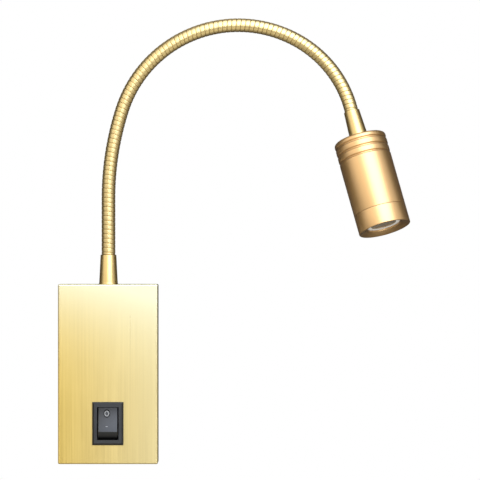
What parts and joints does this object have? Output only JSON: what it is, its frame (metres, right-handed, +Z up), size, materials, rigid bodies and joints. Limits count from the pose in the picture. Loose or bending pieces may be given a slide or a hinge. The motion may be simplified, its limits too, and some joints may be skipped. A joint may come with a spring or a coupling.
{
  "type": "bedside wall reading lamp",
  "caption": "Wall reading lamp with a brushed brass box, a rocker switch, a bendable gooseneck arm and a small cylindrical LED head",
  "frame": {"origin": "middle of the wall bracket's back face, on the wall", "axes": "+Z up, -Y out of the wall towards the room, +X to the right as seen from the room"},
  "size_m": [0.1762, 0.0486, 0.2237],
  "materials": {
    "cover_brass": "brushed, satin clear lacquer",
    "head_gold": "gold anodised, satin turned",
    "hose_brass": "brass plated, satin",
    "zinc_steel": "zinc plated",
    "switch_black": "gloss black",
    "grommet_rubber": "matte black",
    "terminal_plastic": "natural nylon",
    "driver_plastic": "moulded white",
    "board_green": "solder mask",
    "transformer_tape": "wound, taped",
    "can_aluminium": "drawn can",
    "contact_brass": "stamped",
    "lead_plastic": "black sheath",
    "core_plastic": "insulated cores",
    "pad_grey": "silicone pad",
    "led_board_white": "white solder mask on aluminium",
    "led_phosphor": "phosphor under a silicone dome",
    "holder_white": "moulded",
    "lens_clear": "clear, polished"
  },
  "bodies": {
    "base": {"wall_bracket": "zinc_steel", "front_cover": "cover_brass", "cover_screws": "zinc_steel", "cable_grommet": "grommet_rubber", "earth_screw": "zinc_steel", "terminal_block": "terminal_plastic", "terminal_screws": "zinc_steel", "driver_case": "driver_plastic", "driver_lid": "driver_plastic", "driver_board": "board_green", "driver_transformer": "transformer_tape", "driver_capacitor": "can_aluminium", "driver_screws": "zinc_steel", "switch_housing": "switch_black", "switch_terminals": "contact_brass", "mains_leads": "core_plastic", "lower_ferrule": "head_gold", "lock_washer": "zinc_steel", "arm_nut": "zinc_steel", "gooseneck_01": "hose_brass", "lamp_lead": "lead_plastic"},
    "rocker": {"switch_rocker": "switch_black", "switch_plunger": "switch_black", "switch_spring": "zinc_steel"},
    "contact": {"switch_contact": "contact_brass"},
    "hose_02": {"gooseneck_02": "hose_brass"},
    "hose_03": {"gooseneck_03": "hose_brass"},
    "hose_04": {"gooseneck_04": "hose_brass"},
    "hose_05": {"gooseneck_05": "hose_brass"},
    "hose_06": {"gooseneck_06": "hose_brass"},
    "hose_07": {"gooseneck_07": "hose_brass"},
    "hose_08": {"gooseneck_08": "hose_brass"},
    "hose_09": {"gooseneck_09": "hose_brass"},
    "hose_10": {"gooseneck_10": "hose_brass"},
    "hose_11": {"gooseneck_11": "hose_brass"},
    "hose_12": {"gooseneck_12": "hose_brass"},
    "hose_13": {"gooseneck_13": "hose_brass"},
    "hose_14": {"gooseneck_14": "hose_brass"},
    "hose_15": {"gooseneck_15": "hose_brass"},
    "hose_16": {"gooseneck_16": "hose_brass"},
    "hose_17": {"gooseneck_17": "hose_brass"},
    "hose_18": {"gooseneck_18": "hose_brass"},
    "hose_19": {"gooseneck_19": "hose_brass"},
    "head": {"gooseneck_20": "hose_brass", "upper_ferrule": "head_gold", "head_cap": "head_gold", "head_barrel": "head_gold", "head_bezel": "head_gold", "thermal_pad": "pad_grey", "led_board": "led_board_white", "led_emitter": "led_phosphor", "board_screws": "zinc_steel", "lens_holder": "holder_white", "lens": "lens_clear", "led_wires": "core_plastic"}
  },
  "joints": [
    {"name": "switch_rock", "type": "hinge", "parent": "base", "child": "rocker", "pos_m": [0, -0.0242, -0.0247], "axis": [1, 0, 0], "range_deg": [0, 32]},
    {"name": "contact_rock", "type": "hinge", "parent": "base", "child": "contact", "pos_m": [0, -0.0169, -0.0247], "axis": [1, 0, 0], "range_deg": [-16, 0]},
    {"name": "lower_swing", "type": "hinge", "parent": "base", "child": "hose_02", "pos_m": [0, -0.014, 0.07123], "axis": [1, 0.004, 0], "range_deg": [0, 15]},
    {"name": "lower_bend", "type": "hinge", "parent": "hose_02", "child": "hose_03", "pos_m": [0, -0.014, 0.08267], "axis": [0, 1, 0.004], "range_deg": [-12, 4], "deforming": ["lamp_lead"]},
    {"name": "lower_bend_2", "type": "hinge", "parent": "hose_03", "child": "hose_04", "pos_m": [0.00011, -0.014, 0.0941], "axis": [0.0002, 1, 0.004], "range_deg": [-12, 4]},
    {"name": "lower_swing_2", "type": "hinge", "parent": "hose_04", "child": "hose_05", "pos_m": [0.00101, -0.014, 0.1055], "axis": [0.9931, 0.004, -0.1174], "range_deg": [0, 15]},
    {"name": "lower_bend_3", "type": "hinge", "parent": "hose_05", "child": "hose_06", "pos_m": [0.0028, -0.014, 0.11679], "axis": [0.0008, 1, 0.0039], "range_deg": [-12, 4]},
    {"name": "lower_bend_4", "type": "hinge", "parent": "hose_06", "child": "hose_07", "pos_m": [0.00546, -0.014, 0.12791], "axis": [0.0011, 1, 0.0039], "range_deg": [-12, 4]},
    {"name": "lower_swing_3", "type": "hinge", "parent": "hose_07", "child": "hose_08", "pos_m": [0.00918, -0.014, 0.13871], "axis": [0.9146, 0.004, -0.4044], "range_deg": [0, 15]},
    {"name": "upper_bend", "type": "hinge", "parent": "hose_08", "child": "hose_09", "pos_m": [0.01475, -0.014, 0.14867], "axis": [0.0023, 1, 0.0033], "range_deg": [-16, 3]},
    {"name": "upper_bend_2", "type": "hinge", "parent": "hose_09", "child": "hose_10", "pos_m": [0.02207, -0.014, 0.15744], "axis": [0.0028, 1, 0.0028], "range_deg": [-16, 3]},
    {"name": "upper_swing", "type": "hinge", "parent": "hose_10", "child": "hose_11", "pos_m": [0.03089, -0.014, 0.16469], "axis": [0.5604, 0.004, -0.8282], "range_deg": [-3, 12]},
    {"name": "upper_bend_3", "type": "hinge", "parent": "hose_11", "child": "hose_12", "pos_m": [0.0409, -0.014, 0.17018], "axis": [0.0037, 1, 0.0016], "range_deg": [-16, 3]},
    {"name": "upper_bend_4", "type": "hinge", "parent": "hose_12", "child": "hose_13", "pos_m": [0.05175, -0.014, 0.17372], "axis": [0.0039, 1, 0.0009], "range_deg": [-16, 3]},
    {"name": "upper_swing_2", "type": "hinge", "parent": "hose_13", "child": "hose_14", "pos_m": [0.06308, -0.014, 0.17518], "axis": [0.0353, 0.004, -0.9994], "range_deg": [-3, 12]},
    {"name": "upper_bend_5", "type": "hinge", "parent": "hose_14", "child": "hose_15", "pos_m": [0.07448, -0.014, 0.17452], "axis": [0.004, 1, -0.0006], "range_deg": [-16, 3]},
    {"name": "upper_bend_6", "type": "hinge", "parent": "hose_15", "child": "hose_16", "pos_m": [0.08555, -0.014, 0.17176], "axis": [0.0038, 1, -0.0013], "range_deg": [-16, 3]},
    {"name": "upper_swing_3", "type": "hinge", "parent": "hose_16", "child": "hose_17", "pos_m": [0.09593, -0.01403, 0.16698], "axis": [-0.504, 0.004, -0.8637], "range_deg": [-3, 12]},
    {"name": "upper_bend_7", "type": "hinge", "parent": "hose_17", "child": "hose_18", "pos_m": [0.10514, -0.01464, 0.16028], "axis": [0.0674, 0.9959, -0.0602], "range_deg": [-16, 3]},
    {"name": "upper_bend_8", "type": "hinge", "parent": "hose_18", "child": "hose_19", "pos_m": [0.11279, -0.01599, 0.15191], "axis": [0.0912, 0.9882, -0.1229], "range_deg": [-16, 3]},
    {"name": "upper_swing_4", "type": "hinge", "parent": "hose_19", "child": "head", "pos_m": [0.11852, -0.01803, 0.14226], "axis": [-0.9079, 0.0039, -0.4191], "range_deg": [-3, 12]}
  ],
  "couplings": [
    {"joint": "contact_rock", "follows": "switch_rock", "ratio": -0.5},
    {"joint": "lower_bend_2", "follows": "lower_bend", "ratio": 1},
    {"joint": "lower_swing_2", "follows": "lower_swing", "ratio": 1},
    {"joint": "lower_bend_3", "follows": "lower_bend", "ratio": 1},
    {"joint": "lower_bend_4", "follows": "lower_bend", "ratio": 1},
    {"joint": "lower_swing_3", "follows": "lower_swing", "ratio": 1},
    {"joint": "upper_bend_2", "follows": "upper_bend", "ratio": 1},
    {"joint": "upper_bend_3", "follows": "upper_bend", "ratio": 1},
    {"joint": "upper_bend_4", "follows": "upper_bend", "ratio": 1},
    {"joint": "upper_swing_2", "follows": "upper_swing", "ratio": 1},
    {"joint": "upper_bend_5", "follows": "upper_bend", "ratio": 1},
    {"joint": "upper_bend_6", "follows": "upper_bend", "ratio": 1},
    {"joint": "upper_swing_3", "follows": "upper_swing", "ratio": 1},
    {"joint": "upper_bend_7", "follows": "upper_bend", "ratio": 1},
    {"joint": "upper_bend_8", "follows": "upper_bend", "ratio": 1},
    {"joint": "upper_swing_4", "follows": "upper_swing", "ratio": 1}
  ]
}
